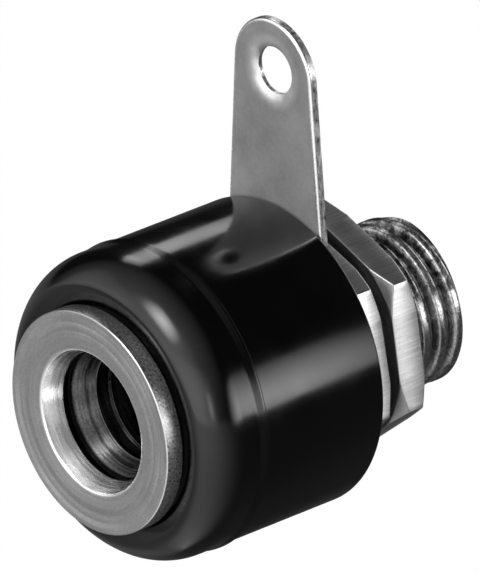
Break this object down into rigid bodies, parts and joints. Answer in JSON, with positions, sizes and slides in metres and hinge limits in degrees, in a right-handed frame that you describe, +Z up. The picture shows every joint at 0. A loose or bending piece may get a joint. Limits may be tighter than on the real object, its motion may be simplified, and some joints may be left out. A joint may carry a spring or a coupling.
{
  "type": "banana socket",
  "caption": "Insulated 4 mm panel banana socket: turned metal sleeve with a black collar and bush, an upright solder lug and hexagon nuts on the threaded shank.",
  "frame": {"origin": "on the socket's axis, at the plane where the front collar meets the panel, inside the plug bore", "axes": "-Y towards the plug, along the bore; +Y along the threaded shank; +Z up along the solder lug"},
  "size_m": [0.0112, 0.0146, 0.0179],
  "materials": {
    "plated_brass": "nickel plated, turned",
    "black_plastic": "moulded, satin gloss",
    "tinned_sheet": "tinned sheet, stamped",
    "plated_nut": "nickel plated, drawn bar"
  },
  "bodies": {
    "sleeve": {"socket_sleeve": "plated_brass", "front_collar": "black_plastic"},
    "bush": {"rear_bush": "black_plastic"},
    "lug": {"solder_lug": "tinned_sheet"},
    "front_nut": {"front_nut": "plated_nut"},
    "rear_nut": {"rear_nut": "plated_nut"}
  },
  "joints": [
    {"name": "bush_slide", "type": "slide", "parent": "sleeve", "child": "bush", "axis": [0, 1, 0], "range_m": [0, 0.00275]},
    {"name": "front_nut_turn", "type": "hinge", "parent": "bush", "child": "front_nut", "pos_m": [0, 0, 0], "axis": [0, 1, 0], "range_deg": [0, 1320]},
    {"name": "rear_nut_turn", "type": "hinge", "parent": "bush", "child": "rear_nut", "pos_m": [0, 0, 0], "axis": [0, 1, 0], "range_deg": [0, 1320]},
    {"name": "lug_swivel", "type": "hinge", "parent": "bush", "child": "lug", "pos_m": [0, 0, 0], "axis": [0, 1, 0], "continuous": true}
  ],
  "couplings": [
    {"joint": "front_nut_turn", "follows": "bush_slide", "rad_per_m": 8377.6},
    {"joint": "rear_nut_turn", "follows": "bush_slide", "rad_per_m": 8377.6}
  ]
}
